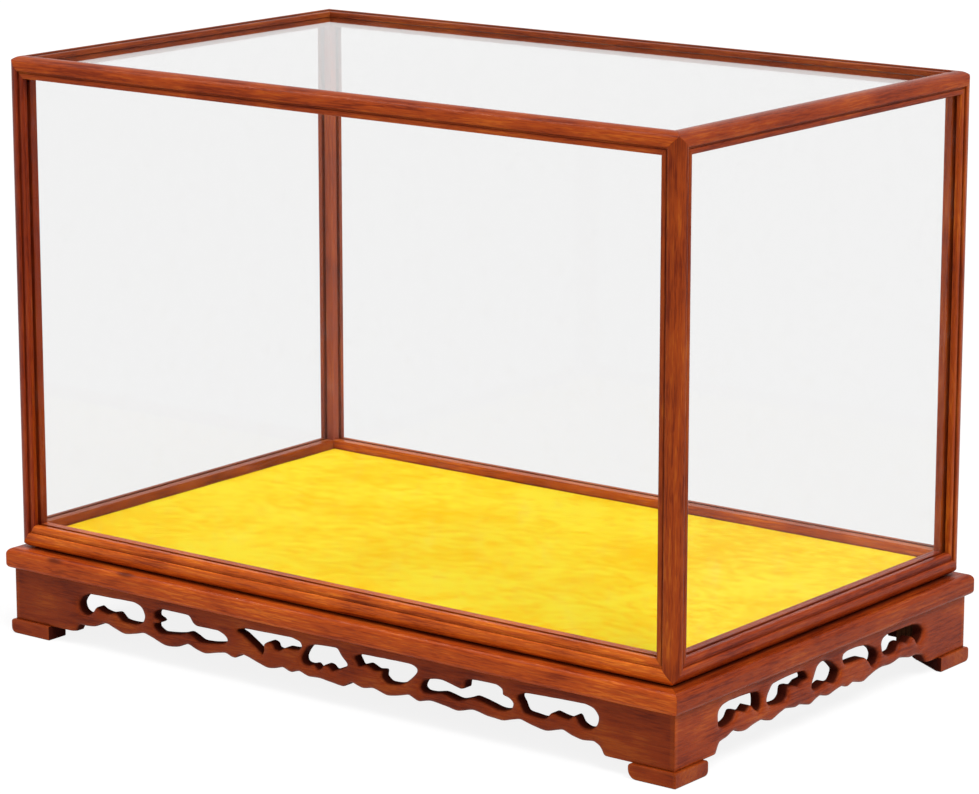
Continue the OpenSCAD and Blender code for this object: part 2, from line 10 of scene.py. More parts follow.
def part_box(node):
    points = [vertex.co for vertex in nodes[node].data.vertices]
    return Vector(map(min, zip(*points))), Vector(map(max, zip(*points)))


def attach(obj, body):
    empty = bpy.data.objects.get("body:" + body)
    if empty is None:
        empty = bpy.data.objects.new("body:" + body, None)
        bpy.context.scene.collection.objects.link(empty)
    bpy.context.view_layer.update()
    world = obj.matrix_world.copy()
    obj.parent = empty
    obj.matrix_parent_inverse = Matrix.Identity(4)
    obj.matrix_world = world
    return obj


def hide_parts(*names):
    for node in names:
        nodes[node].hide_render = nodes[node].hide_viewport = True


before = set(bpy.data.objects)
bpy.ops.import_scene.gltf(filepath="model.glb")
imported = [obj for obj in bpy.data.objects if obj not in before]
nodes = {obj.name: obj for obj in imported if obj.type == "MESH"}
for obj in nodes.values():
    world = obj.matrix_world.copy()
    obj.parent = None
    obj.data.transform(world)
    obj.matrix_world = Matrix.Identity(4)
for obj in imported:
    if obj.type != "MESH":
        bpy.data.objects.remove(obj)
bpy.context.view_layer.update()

MM = 0.001
UP = Vector((0, 0, 1))
X, Y, Z = "X", "Y", "Z"

# Bars of the cover: which way the grain runs, how light it looks, how golden, and how much painted
# glass reflection greys it. The lightness is partly the wood's own and partly painted light and
# shade, and the gold is partly the wood's own and partly painted warm highlight.
BARS = {
    "post_front_left": (Z, 0.78, 0.85, 0), "post_front_right": (Z, 0.98, 1.15, 0),
    "post_back_left": (Z, 1.15, 1.00, 0.030), "post_back_right": (Z, 1.05, 1.15, 0),
    "top_rail_front": (X, 1.12, 1.10, 0), "top_rail_back": (X, 0.88, 1.15, 0.008),
    "top_rail_left": (Y, 0.85, 1.15, 0.010), "top_rail_right": (Y, 0.93, 1.00, 0),
    "bottom_rail_front": (X, 1.95, 1.35, 0), "bottom_rail_back": (X, 1.70, 1.40, 0),
    "bottom_rail_left": (Y, 1.05, 1.30, 0), "bottom_rail_right": (Y, 1.02, 0.95, 0),
}
# Cornice rails: which way the grain runs, how light it looks and how golden, both partly the
# wood's own and partly painted light and shade
CORNICES = {
    "cornice_front": (X, 1.42, 1.15), "cornice_back": (X, 1.10, 1.00),
    "cornice_left": (Y, 1.10, 1.00), "cornice_right": (Y, 0.93, 1.00),
}
# Foot pads: how light they look, partly the wood's own and partly painted light and shade, and
# which way along X and Y the inner sides face, which get painted shade
FEET = {
    "foot_front_left": (0.82, (1, 1)), "foot_front_right": (0.80, (-1, 1)),
    "foot_back_left": (0.90, (1, -1)), "foot_back_right": (0.80, (-1, -1)),
}
# Aprons: which way the grain runs, how light it looks, partly the wood's own and partly painted
# light and shade, and which way the carved face looks
APRONS = {
    "apron_front": (X, 0.72, Vector((0, -1, 0))), "apron_back": (X, 0.90, Vector((0, 1, 0))),
    "apron_left": (Y, 0.85, Vector((-1, 0, 0))), "apron_right": (Y, 0.97, Vector((1, 0, 0))),
}
# Hidden wood: which way the grain runs
INNER = {
    "floor_board": X, "batten_left": Y, "batten_right": Y, "glue_blocks": X, "cornice_splines": X,
    "corner_block_front_left": Z, "corner_block_front_right": Z,
    "corner_block_back_left": Z, "corner_block_back_right": Z,
    "dowels_top": X, "dowels_bottom": X,
}
# A number for each stick, which sets where in the tree it was cut
STICKS = {name: k for k, name in enumerate([*BARS, *CORNICES, *FEET, *APRONS, *INNER], 1)}
WALL_PANES = ("glass_front", "glass_back", "glass_left", "glass_right")
SCREWS = ("floor_screws", "foot_screws")


def add_object(name, data):
    """A new object, put in the scene."""
    made = bpy.data.objects.new(name, data)
    bpy.context.scene.collection.objects.link(made)
    return made


def middle_of(name):
    low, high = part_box(name)
    return (low + high) / 2


def around(ring):
    """Each pair of neighbours in a closed ring."""
    return zip(ring, ring[1:] + ring[:1])


# Camera and light

PHOTO_WIDTH = 979
PHOTO_FOCUS = 3878.8
SENSOR_WIDTH = 36
CAMERA_PLACE = Vector((1.4169, -1.8325, 0.6843))
CAMERA_TURN = math.radians(37.628)
CAMERA_DIP = math.radians(12.785)
CLIP_START = 0.05

# Each lamp: which way it lies from the case, its strength and its width in degrees
SUNS = {
    "key": ((0.60, -0.25, 1.00), 2.37, 34),
    "fill": ((-0.25, -1.0, 0.5), 0.24, 60),
    "edge": ((-0.60, -0.15, 0.80), 0.30, 10),
}


def set_up_camera():
    data = bpy.data.cameras.new("camera")
    data.sensor_width = SENSOR_WIDTH
    data.lens = data.sensor_width * PHOTO_FOCUS / PHOTO_WIDTH
    data.clip_start = CLIP_START
    camera = add_object("camera", data)
    camera.location = CAMERA_PLACE
    camera.rotation_euler = (math.pi / 2 - CAMERA_DIP, 0, CAMERA_TURN)
    bpy.context.scene.camera = camera
    bpy.context.scene.view_settings.view_transform = "Standard"


def add_sun(name, towards, strength, width):
    """A soft, far lamp that shines from the direction given."""
    data = bpy.data.lights.new(name, "SUN")
    data.energy = strength
    data.angle = math.radians(width)
    lamp = add_object(name, data)
    lamp.rotation_euler = Vector(towards).to_track_quat("Z", "Y").to_euler()


# Ways to build a shader

def rgb(red, green, blue):
    return (red, green, blue, 1.0)


WHITE = rgb(1, 1, 1)


class Shader:
    """A node tree, with short ways to add a node, to feed it and to do sums."""

    def __init__(self, tree):
        self.tree = tree

    def feed(self, socket, value):
        if isinstance(value, bpy.types.NodeSocket):
            self.tree.links.new(value, socket)
        else:
            socket.default_value = value

    def add(self, kind, inputs=None, **settings):
        node = self.tree.nodes.new(kind)
        for name, value in settings.items():
            setattr(node, name, value)
        for name, value in (inputs or {}).items():
            self.feed(node.inputs[name], value)
        return node

    def sum(self, operation, *values, clamp=False):
        node = self.add("ShaderNodeMath", operation=operation, use_clamp=clamp)
        for socket, value in zip(node.inputs, values):
            self.feed(socket, value)
        return node.outputs[0]

    def place(self, operation, *values):
        node = self.add("ShaderNodeVectorMath", operation=operation)
        for socket, value in zip(node.inputs, values):
            self.feed(socket, value)
        return node.outputs[0]

    def measure(self, operation, first, second):
        """One number from two vectors, such as their distance."""
        node = self.add("ShaderNodeVectorMath", {0: first, 1: second}, operation=operation)
        return node.outputs["Value"]

    def spread(self, value, low, high, to_low=0.0, to_high=1.0):
        """Maps low..high to to_low..to_high with soft ends."""
        node = self.add("ShaderNodeMapRange", interpolation_type="SMOOTHSTEP")
        for socket, number in zip(node.inputs, (value, low, high, to_low, to_high)):
            self.feed(socket, number)
        return node.outputs[0]

    def blend(self, share, first, second):
        """Two colours, with that share of the second."""
        node = self.add("ShaderNodeMix", {0: share, 6: first, 7: second}, data_type="RGBA")
        return node.outputs[2]

    def blend_surfaces(self, share, first, second):
        """Two surfaces, with that share of the second."""
        return self.add("ShaderNodeMixShader", {0: share, 1: first, 2: second}).outputs[0]

    def noise(self, where, stretch, detail, rough):
        scaled = self.place("MULTIPLY", where, stretch)
        values = {"Vector": scaled, "Scale": 1.0, "Detail": detail, "Roughness": rough}
        return self.add("ShaderNodeTexNoise", values).outputs

    def clouds(self, where, stretch, detail=2.0, rough=0.5):
        """Noise with its own size along each axis, in features per metre."""
        return self.noise(where, stretch, detail, rough)["Fac"]

    def swing(self, where, stretch, detail):
        """Noise as a vector, each part of it within 0.5 of zero."""
        colour = self.noise(where, stretch, detail, 0.5)["Color"]
        return self.place("SUBTRACT", colour, (0.5, 0.5, 0.5))


def new_group(name, takes, gives):
    """A shader group: its shader, the values that come in and the sockets that go out."""
    tree = bpy.data.node_groups.new(name, "ShaderNodeTree")
    for label, kind, value in takes:
        taken = tree.interface.new_socket(label, in_out="INPUT", socket_type="NodeSocket" + kind)
        taken.default_value = value
    for label, kind in gives:
        tree.interface.new_socket(label, in_out="OUTPUT", socket_type="NodeSocket" + kind)
    shader = Shader(tree)
    return shader, shader.add("NodeGroupInput").outputs, shader.add("NodeGroupOutput").inputs


def new_material(name):
    """An empty material: the shader, the Principled BSDF and the output."""
    material = bpy.data.materials.new(name)
    material.use_nodes = True
    material.node_tree.nodes.clear()
    shader = Shader(material.node_tree)
    surface = shader.add("ShaderNodeBsdfPrincipled")
    output = shader.add("ShaderNodeOutputMaterial", {"Surface": surface.outputs[0]})
    return material, shader, surface, output


def add_bump(shader, surface, height, strength, distance):
    values = {"Height": height, "Strength": strength, "Distance": distance}
    shader.feed(surface.inputs["Normal"], shader.add("ShaderNodeBump", values).outputs[0])


# Effects that more than one finish uses

AO_SAMPLES = 6


def wood_figure_group():
    """Rings, streaks, flecks, mottle, dark veins, pores and knots, for grain that runs along X."""
    takes = [
        ("Grain", "Vector", (0, 0, 0)), ("Wander", "Float", 0.001), ("Ring gap", "Float", 0.003),
        ("Dark", "Color", rgb(0.1, 0.02, 0.01)), ("Middle", "Color", rgb(0.3, 0.05, 0.01)),
        ("Light", "Color", rgb(0.4, 0.1, 0.03)), ("Vein", "Color", rgb(0.04, 0.01, 0.0)),
        ("Vein share", "Float", 0.4), ("Mottle", "Float", 0.4), ("Knots", "Float", 0.0),
    ]
    gives = [("Colour", "Color"), ("Height", "Float"), ("Gloss loss", "Float")]
    s, takes, gives = new_group("wood figure", takes, gives)
    grain = takes["Grain"]

    lean = s.place("MULTIPLY", s.swing(grain, (9, 30, 30), detail=1.5), (0, 2, 2))
    lean = s.add("ShaderNodeVectorMath", {0: lean, "Scale": takes["Wander"]}, operation="SCALE")
    bent = s.place("ADD", grain, lean.outputs[0])

    parts = s.add("ShaderNodeSeparateXYZ", {0: bent}).outputs
    squares = [s.sum("MULTIPLY", part, part) for part in (parts[1], parts[2])]
    radius = s.sum("SQRT", s.sum("ADD", *squares))
    ring = s.sum("FRACT", s.sum("DIVIDE", radius, takes["Ring gap"]))
    season = s.clouds(s.place("ADD", bent, (3.1, 0, 0)), (2, 160, 160), detail=1.0)
    ring_line = s.sum("MULTIPLY", s.spread(ring, 0.55, 0.98), s.spread(season, 0.42, 0.62))

    streaks = s.spread(s.clouds(bent, (24, 560, 560), detail=3.0, rough=0.65), 0.33, 0.67)
    flecks = s.spread(s.clouds(grain, (110, 1400, 1400), detail=1.0), 0.38, 0.62)
    patches = s.spread(s.clouds(bent, (19, 38, 38), detail=2.5), 0.34, 0.66)
    tone = s.sum("ADD", s.sum("MULTIPLY", streaks, 0.58), s.sum("MULTIPLY", flecks, 0.42))
    patchy = s.sum("MULTIPLY", s.sum("SUBTRACT", patches, tone), takes["Mottle"])
    tone = s.sum("ADD", tone, patchy)
    tone = s.sum("SUBTRACT", tone, s.sum("MULTIPLY", ring_line, 0.24), clamp=True)
    colour = s.blend(s.spread(tone, 0.0, 0.5), takes["Dark"], takes["Middle"])
    colour = s.blend(s.spread(tone, 0.5, 1.0), colour, takes["Light"])

    wave = s.clouds(bent, (5, 190, 190), detail=1.5)
    vein = s.spread(s.sum("ABSOLUTE", s.sum("SUBTRACT", wave, 0.5)), 0.0, 0.02, 1.0, 0.0)
    vein = s.sum("MULTIPLY", vein, s.sum("SUBTRACT", 1.0, patches))
    pores = s.spread(s.clouds(grain, (190, 2800, 2800), detail=0.0), 0.62, 0.72)
    cells = {"Vector": s.place("MULTIPLY", bent, (16, 50, 50)), "Scale": 1.0}
    cell = s.add("ShaderNodeTexVoronoi", cells).outputs
    lot = s.add("ShaderNodeSeparateXYZ", {0: cell["Color"]}).outputs[0]
    chosen = s.sum("GREATER_THAN", lot, 0.45)
    knot = s.sum("MULTIPLY", s.spread(cell["Distance"], 0.03, 0.17, 1.0, 0.0), chosen)
    marks = s.sum("MAXIMUM", vein, s.sum("MULTIPLY", pores, 0.6))
    marks = s.sum("MULTIPLY", marks, takes["Vein share"])
    marks = s.sum("MAXIMUM", marks, s.sum("MULTIPLY", knot, takes["Knots"]))

    s.feed(gives["Colour"], s.blend(marks, colour, takes["Vein"]))
    s.feed(gives["Height"], s.sum("SUBTRACT", s.sum("MULTIPLY", tone, 0.3), pores))
    loss = [s.sum("MULTIPLY", ring_line, 0.5), s.sum("MULTIPLY", pores, 0.8)]
    s.feed(gives["Gloss loss"], s.sum("ADD", *loss, clamp=True))
    return s.tree


def corners_and_edges_group():
    """Masks of painted shade, in a piece's own corners and grooves and where other pieces come
    near, and of painted highlight with some wear along its convex edges.
    """
    takes = [("Own corner shade reach", "Float", 0.002), ("Shade from others reach", "Float", 0.005),
             ("Edge wear and highlight reach", "Float", 0.0025)]
    gives = [("Own corner shade", "Float"), ("Shade from others", "Float"), ("Edge wear and highlight", "Float")]
    s, takes, gives = new_group("corners and edges", takes, gives)

    def openness(reach, **kind):
        distance = {"Distance": takes[reach]}
        node = s.add("ShaderNodeAmbientOcclusion", distance, samples=AO_SAMPLES, **kind)
        return node.outputs["AO"]

    # Painted shade in the piece's own corners and grooves.
    corner = openness("Own corner shade reach", only_local=True)
    s.feed(gives["Own corner shade"], s.spread(corner, 0.35, 0.9, 1.0, 0.0))
    # Painted shade where other pieces come near.
    others = openness("Shade from others reach")
    s.feed(gives["Shade from others"], s.spread(others, 0.1, 0.65, 1.0, 0.0))
    # Painted highlight, with some wear, along convex edges.
    edge = openness("Edge wear and highlight reach", only_local=True, inside=True)
    s.feed(gives["Edge wear and highlight"], s.spread(edge, 0.6, 0.97, 1.0, 0.0))
    return s.tree


def hand_work_group():
    """Shallow unevenness left by hand planing and polishing."""
    takes = [("Place", "Vector", (0, 0, 0))]
    s, takes, gives = new_group("hand work", takes, [("Height", "Float")])
    broad = s.clouds(takes["Place"], (90, 90, 90), detail=1.0)
    fine = s.clouds(takes["Place"], (700, 700, 700), detail=1.0)
    s.feed(gives["Height"], s.sum("ADD", broad, s.sum("MULTIPLY", fine, 0.12)))
    return s.tree


WOOD_FIGURE = wood_figure_group()
CORNERS_AND_EDGES = corners_and_edges_group()
HAND_WORK = hand_work_group()


# Finishes

GRAIN_TURN = {X: (0, 0, 0), Y: (0, 0, -math.pi / 2), Z: (0, math.pi / 2, 0)}
HEART_GAP = 0.045
HEART_SWAY = 0.02
WOOD_SPECULAR = 0.08
ROSEWOOD_ROUGH = 0.26
INNER_ROUGH = 0.75
# How strongly painted shade darkens corners and gaps between pieces, cuts, and the inner sides of
# the feet. ROSEWOOD_SHADE and INNER_SHADE are the colours of that painted shade.
PAINTED_SHADE_SHARE = 0.85
CUT_SHADE_SHARE = 0.93
INWARD_SHADE_SHARE = 0.95
CUT_FROM, CUT_TO = 0.3 * MM, 2.8 * MM
DUST_SHARE = 0.02
ROSEWOOD_VEIN = rgb(0.055, 0.006, 0.002)
ROSEWOOD_SHADE = rgb(0.035, 0.003, 0.001)
INNER_SHADE = rgb(0.04, 0.014, 0.006)


def grain_place(s, name, axis):
    """Object coordinates, and the place in the tree that they had, with X along the grain."""
    coordinates = s.add("ShaderNodeTexCoord").outputs["Object"]
    centred = s.place("SUBTRACT", coordinates, tuple(middle_of(name)))
    mapping = s.add("ShaderNodeMapping", {"Vector": centred, "Rotation": GRAIN_TURN[axis]})
    stick = STICKS[name]
    angle = stick * 2.4
    heart = HEART_GAP + HEART_SWAY * math.sin(stick * 1.7)
    shift = (stick * 1.37, heart * math.cos(angle), heart * math.sin(angle))
    return coordinates, s.place("ADD", mapping.outputs[0], shift)


def wood_parts(s, name, axis, look, corner_shade_reach):
    """What both woods share: coordinates, figure, painted shade and edge light, and hand work."""
    coordinates, grain = grain_place(s, name, axis)
    figure = s.add("ShaderNodeGroup", {"Grain": grain, **look}, node_tree=WOOD_FIGURE).outputs
    reach = {"Own corner shade reach": corner_shade_reach}
    shade_and_edge_light = s.add("ShaderNodeGroup", reach, node_tree=CORNERS_AND_EDGES).outputs
    hand = s.add("ShaderNodeGroup", {"Place": coordinates}, node_tree=HAND_WORK).outputs[0]
    return coordinates, figure, shade_and_edge_light, hand


def carved_shade(s, name, coordinates, out):
    """Painted shade down in the cuts of a board, by the depth below its outer face."""
    low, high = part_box(name)
    face = max(low @ out, high @ out)
    depth = s.sum("SUBTRACT", face, s.measure("DOT_PRODUCT", coordinates, out))
    return s.spread(depth, CUT_FROM, CUT_TO, 0.0, CUT_SHADE_SHARE)


def rosewood(name, axis, tone, golden_glow=1.0, glass_veil=0.0, wander=1.2 * MM, mottle=0.38, knots=0.0,
             shade_from_others=1.0, edge_light_and_wear=0.0, carved_out=None, inward=None):
    """Reddish brown rosewood under a satin polish. Painted shade makes it dark, and it is dull, in
    corners, between pieces, in cuts and on inner sides. Edges get painted highlight with some
    wear.
    """

    # Colours for this piece: its lightness and gold are partly painted light and shade, and the
    # grey added to green and blue is a painted reflection of the glass.
    def stain(red, green, blue):
        return rgb(red * tone, green * tone * golden_glow + glass_veil, blue * tone + glass_veil)

    material, s, surface, _ = new_material(name + " rosewood")
    look = {
        "Wander": wander, "Ring gap": 3.1 * MM, "Vein share": 0.42, "Mottle": mottle,
        "Knots": knots, "Dark": stain(0.160, 0.016, 0.003), "Middle": stain(0.292, 0.038, 0.005),
        "Light": stain(0.420, 0.078, 0.009), "Vein": ROSEWOOD_VEIN,
    }
    coordinates, figure, shade_and_edge_light, hand = wood_parts(s, name, axis, look, 2.0 * MM)
    colour = figure["Colour"]
    # Convex edges made lighter: painted highlight, with some wear.
    if edge_light_and_wear:
        lit_edge = s.sum("MULTIPLY", shade_and_edge_light["Edge wear and highlight"], edge_light_and_wear)
        colour = s.blend(lit_edge, colour, stain(0.560, 0.112, 0.012))
    # Painted shade in the piece's own corners and grooves and where other pieces come near.
    shade = s.sum("MULTIPLY", shade_and_edge_light["Shade from others"], shade_from_others)
    shade = s.sum("MULTIPLY", s.sum("MAXIMUM", shade_and_edge_light["Own corner shade"], shade), PAINTED_SHADE_SHARE)
    # Painted shade down in the carved cuts.
    if carved_out:
        shade = s.sum("MAXIMUM", shade, carved_shade(s, name, coordinates, carved_out))
    # Painted shade on the inner sides of a foot.
    if inward:
        facing = s.add("ShaderNodeTexCoord").outputs["Normal"]
        for side in ((inward[0], 0, 0), (0, inward[1], 0)):
            inward_shade = s.measure("DOT_PRODUCT", facing, side)
            inward_shade = s.spread(inward_shade, 0.3, 0.7, 0.0, INWARD_SHADE_SHARE)
            shade = s.sum("MAXIMUM", shade, inward_shade)
    s.feed(surface.inputs["Base Color"], s.blend(shade, colour, ROSEWOOD_SHADE))
    loss = s.sum("ADD", s.sum("MULTIPLY", figure["Gloss loss"], 0.18), ROSEWOOD_ROUGH)
    loss = s.sum("ADD", loss, s.sum("MULTIPLY", shade, 0.65), clamp=True)
    s.feed(surface.inputs["Roughness"], loss)
    surface.inputs["Specular IOR Level"].default_value = WOOD_SPECULAR
    height = s.sum("ADD", s.sum("MULTIPLY", figure["Height"], 0.25), hand)
    add_bump(s, surface, height, 0.35, 0.25 * MM)
    return material


def inner_wood(name, axis):
    """Plain wood that the finished case hides, stained brown, darkened further as painted shade
    inside the base, and left unpolished.
    """
    material, s, surface, _ = new_material(name + " inner wood")
    look = {
        "Wander": 2 * MM, "Ring gap": 4.2 * MM, "Vein share": 0.3,
        "Dark": rgb(0.072, 0.024, 0.009), "Middle": rgb(0.122, 0.046, 0.018),
        "Light": rgb(0.180, 0.076, 0.032), "Vein": rgb(0.040, 0.012, 0.004),
    }
    _, figure, shade_and_edge_light, hand = wood_parts(s, name, axis, look, 4 * MM)
    # Painted shade in corners and where other pieces come near.
    shade = s.sum("MULTIPLY", s.sum("MAXIMUM", shade_and_edge_light["Own corner shade"], shade_and_edge_light["Shade from others"]), 0.6)
    s.feed(surface.inputs["Base Color"], s.blend(shade, figure["Colour"], INNER_SHADE))
    loss = s.sum("ADD", s.sum("MULTIPLY", figure["Gloss loss"], 0.1), INNER_ROUGH)
    s.feed(surface.inputs["Roughness"], loss)
    surface.inputs["Specular IOR Level"].default_value = WOOD_SPECULAR
    add_bump(s, surface, s.sum("ADD", figure["Height"], hand), 0.5, 0.3 * MM)
    return material


def clear_glass(name, index, tint):
    """Float glass with a trace of dust. Shadows and bounced light pass through it."""
    material, s, surface, output = new_material(name)
    coordinates = s.add("ShaderNodeTexCoord").outputs["Object"]
    surface.inputs["Base Color"].default_value = tint
    surface.inputs["Roughness"].default_value = 0.0
    surface.inputs["IOR"].default_value = index
    surface.inputs["Transmission Weight"].default_value = 1.0
    dust = s.add("ShaderNodeBsdfDiffuse", {"Color": rgb(0.9, 0.9, 0.88)}).outputs[0]
    specks = s.clouds(coordinates, (60, 60, 60), detail=6.0, rough=0.7)
    specks = s.spread(specks, 0.5, 0.8, 0.0, DUST_SHARE)
    glazed = s.blend_surfaces(specks, surface.outputs[0], dust)
    clear = s.add("ShaderNodeBsdfTransparent", {"Color": WHITE}).outputs[0]
    rays = s.add("ShaderNodeLightPath").outputs
    passing = s.sum("MAXIMUM", rays["Is Shadow Ray"], rays["Is Diffuse Ray"])
    s.feed(output.inputs["Surface"], s.blend_surfaces(passing, glazed, clear))
    return material


def yellow_velvet():
    """Short silk pile, brushed this way and that along the cloth."""
    material, s, surface, _ = new_material("yellow velvet")
    coordinates = s.add("ShaderNodeTexCoord").outputs["Object"]
    drift = s.place("MULTIPLY", s.swing(coordinates, (22, 22, 22), detail=2.0), (0.03, 0.03, 0))
    drifted = s.place("ADD", coordinates, drift)
    brushed = s.clouds(drifted, (12, 15, 14), detail=4.0, rough=0.6)
    strokes = s.clouds(drifted, (90, 125, 80), detail=6.0, rough=0.75)
    pile = s.clouds(coordinates, (2600, 2600, 2600), detail=1.0)
    nap = s.sum("ADD", s.sum("MULTIPLY", brushed, 0.42), s.sum("MULTIPLY", strokes, 0.58))
    nap = s.spread(nap, 0.39, 0.60)
    colour = s.blend(nap, rgb(0.995, 0.600, 0.001), rgb(0.998, 0.795, 0.028))
    crushed = s.spread(strokes, 0.35, 0.44, 0.35, 0.0)
    colour = s.blend(crushed, colour, rgb(0.985, 0.480, 0.001))
    colour = s.blend(s.spread(pile, 0.25, 0.75, 0.04, 0.0), colour, rgb(0.88, 0.46, 0.001))
    s.feed(surface.inputs["Base Color"], colour)
    surface.inputs["Roughness"].default_value = 0.9
    surface.inputs["Specular IOR Level"].default_value = 0.05
    surface.inputs["Sheen Weight"].default_value = 0.1
    surface.inputs["Sheen Roughness"].default_value = 0.45
    surface.inputs["Sheen Tint"].default_value = rgb(1.0, 0.72, 0.05)
    add_bump(s, surface, s.sum("ADD", pile, s.sum("MULTIPLY", strokes, 0.6)), 0.3, 0.2 * MM)
    return material


def screw_steel():
    """Bright steel with turning marks."""
    material, s, surface, _ = new_material("screw steel")
    coordinates = s.add("ShaderNodeTexCoord").outputs["Object"]
    turned = s.clouds(coordinates, (300, 300, 6000), detail=2.0)
    stain = s.spread(s.clouds(coordinates, (500, 500, 500), detail=3.0), 0.45, 0.75)
    colour = s.blend(stain, rgb(0.60, 0.58, 0.55), rgb(0.34, 0.30, 0.26))
    s.feed(surface.inputs["Base Color"], colour)
    s.feed(surface.inputs["Roughness"], s.spread(turned, 0.2, 0.8, 0.25, 0.5))
    surface.inputs["Metallic"].default_value = 1.0
    add_bump(s, surface, turned, 0.2, 0.05 * MM)
    return material


# Eased edges on the joiner's pieces

BAR_EASE = 0.12 * MM
CORNICE_EASE = 0.15 * MM
FOOT_EASE = 0.7 * MM
INNER_EASE = 0.2 * MM
KEEN_ANGLE = math.radians(60)
SMOOTH_ANGLE = math.radians(48)
FLAT_ANGLE = math.radians(0.6)
LONG_EDGE = 0.5 * MM
SAME_SPOT = 0.002 * MM


def new_steps(name):
    """An empty tree of geometry steps. Returns its shader and the shape that comes in."""
    tree = bpy.data.node_groups.new(name, "GeometryNodeTree")
    for way in ("INPUT", "OUTPUT"):
        tree.interface.new_socket("Geometry", in_out=way, socket_type="NodeSocketGeometry")
    s = Shader(tree)
    return s, s.add("NodeGroupInput").outputs[0]


def weld(s, shape):
    """Joins the corners that lie on one spot."""
    values = {"Geometry": shape, "Distance": SAME_SPOT}
    return s.add("GeometryNodeMergeByDistance", values).outputs[0]


def joined_corners():
    """Joins the split corners of a piece and drops its stored normals."""
    s, shape = new_steps("joined corners")
    values = {"Geometry": shape, "Name": "custom_normal"}
    shape = weld(s, s.add("GeometryNodeRemoveAttribute", values).outputs[0])
    s.feed(s.add("NodeGroupOutput").inputs[0], shape)
    return s.tree


def long_keen_edges():
    """Marks the keen edges to be eased, and leaves out the short ones round a screw hole."""
    s, shape = new_steps("long keen edges")
    ends = s.add("GeometryNodeInputMeshEdgeVertices").outputs
    length = s.measure("DISTANCE", ends["Position 1"], ends["Position 2"])
    angle = s.add("GeometryNodeInputMeshEdgeAngle").outputs[0]
    is_keen = s.sum("GREATER_THAN", angle, KEEN_ANGLE)
    is_long = s.sum("GREATER_THAN", length, LONG_EDGE)
    marked = {"Geometry": shape, "Name": "bevel_weight_edge",
              "Value": s.sum("MULTIPLY", is_keen, is_long)}
    kind = {"data_type": "FLOAT", "domain": "EDGE"}
    shape = s.add("GeometryNodeStoreNamedAttribute", marked, **kind).outputs[0]
    s.feed(s.add("NodeGroupOutput").inputs[0], shape)
    return s.tree


def smooth_rounds():
    """Joins corners that the easing doubled, and shades all but the keen edges smooth."""
    s, shape = new_steps("smooth rounds")
    shape = weld(s, shape)
    angle = s.add("GeometryNodeInputMeshEdgeAngle").outputs[0]
    sharp = s.sum("GREATER_THAN", angle, SMOOTH_ANGLE)
    faces = {"Geometry": shape, "Shade Smooth": True}
    shape = s.add("GeometryNodeSetShadeSmooth", faces).outputs[0]
    edges = {"Geometry": shape, "Selection": sharp, "Shade Smooth": False}
    shape = s.add("GeometryNodeSetShadeSmooth", edges, domain="EDGE").outputs[0]
    s.feed(s.add("NodeGroupOutput").inputs[0], shape)
    return s.tree


JOINED = joined_corners()
LONG_KEEN = long_keen_edges()
SMOOTH = smooth_rounds()


def ease_edges(piece, width, long_only):
    """Takes the keenness off a piece's edges, by modifiers only."""
    piece.modifiers.new("joined", "NODES").node_group = JOINED
    flat = piece.modifiers.new("whole faces", "DECIMATE")
    flat.decimate_type = "DISSOLVE"
    flat.angle_limit = FLAT_ANGLE
    if long_only:
        piece.modifiers.new("long keen edges", "NODES").node_group = LONG_KEEN
    eased = piece.modifiers.new("eased", "BEVEL")
    eased.width = width
    eased.segments = 3 if long_only else 2
    eased.limit_method = "WEIGHT" if long_only else "ANGLE"
    eased.angle_limit = KEEN_ANGLE
    eased.use_clamp_overlap = False
    piece.modifiers.new("smooth", "NODES").node_group = SMOOTH
    piece.modifiers.new("even", "WEIGHTED_NORMAL").keep_sharp = True


def dress(name, material, ease=None, long_only=False):
    """Gives a piece of the frame its finish and, if wanted, eased edges."""
    piece = nodes[name]
    for place in piece.material_slots:
        place.material = material
    if ease:
        ease_edges(piece, ease, long_only)


# Carved aprons, measured in millimetres

CARVED_EASE = 2.0
SAWN_EASE = 0.35
CARVED_ROWS = (0.1, 0.35, 0.8, 1.4, 2.1)
SAWN_ROWS = (0.12, 0.4)
RIM_STEP = 1.0
GRID_STEP = 2.2
GRID_GAP = 0.5
ROW_SHARE = 0.8
PILLOW = 0.45
PILLOW_REACH = 4.5
MARK_DEPTH = 0.3
MARKS_ALONG, MARKS_UP = 0.16, 0.22
LEG_SQUEEZE = 30.0
FACE_TOLERANCE = 0.01
CUT_TOLERANCE = 1e-4
CARVED_SHARP = math.radians(55)


def outer_face_loops(name, along, out):
    """The outlines of a board's outer face, along and up, with the wood on their left."""
    mesh = nodes[name].data
    corners = np.array([v.co for v in mesh.vertices], float) / MM
    face = (corners @ np.array(out)).max()
    flat = corners @ np.array(out) > face - FACE_TOLERANCE
    seen = np.stack([corners @ np.array(along), corners[:, 2]], 1)
    spots = [tuple(p) for p in np.round(seen, 3)]
    edges = Counter()
    for polygon in mesh.polygons:
        ring = list(polygon.vertices)
        if all(flat[i] for i in ring):
            edges.update((spots[a], spots[b]) for a, b in around(ring))
    following = {a: b for a, b in edges if (b, a) not in edges}
    loops = []
    while following:
        start = next(iter(following))
        loop = [start]
        while following[loop[-1]] != start:
            loop.append(following.pop(loop[-1]))
        following.pop(loop[-1])
        loops.append(np.array(loop))
    loops.sort(key=lambda loop: np.ptp(loop[:, 0]), reverse=True)
    return face, loops


